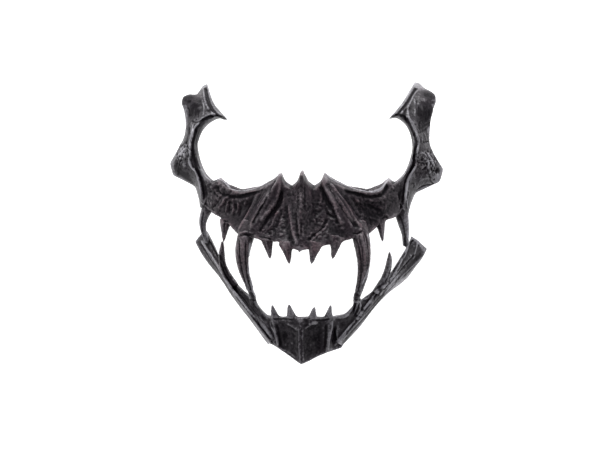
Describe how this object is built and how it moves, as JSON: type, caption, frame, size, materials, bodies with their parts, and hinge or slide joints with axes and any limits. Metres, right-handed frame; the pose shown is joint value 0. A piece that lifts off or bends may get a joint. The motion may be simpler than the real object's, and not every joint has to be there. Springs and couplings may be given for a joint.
{
  "type": "monster half mask",
  "caption": "Open skeletal half mask cast in black resin: ribbed muzzle with long fangs, cheekbones curling round the eyes into horned temples, and a narrow toothed lower jaw.",
  "frame": {"origin": "middle of the bounding box's footprint, on the plane that the mask lies on", "axes": "+X to the right of someone looking at the mask's face, +Y up the face, +Z out of the face"},
  "size_m": [0.1844, 0.1868, 0.0904],
  "materials": {
    "black_resin": "semi-gloss cast resin, near black with a faint purple-brown cast"
  },
  "bodies": {
    "root": {"mask": "black_resin"}
  },
  "joints": []
}
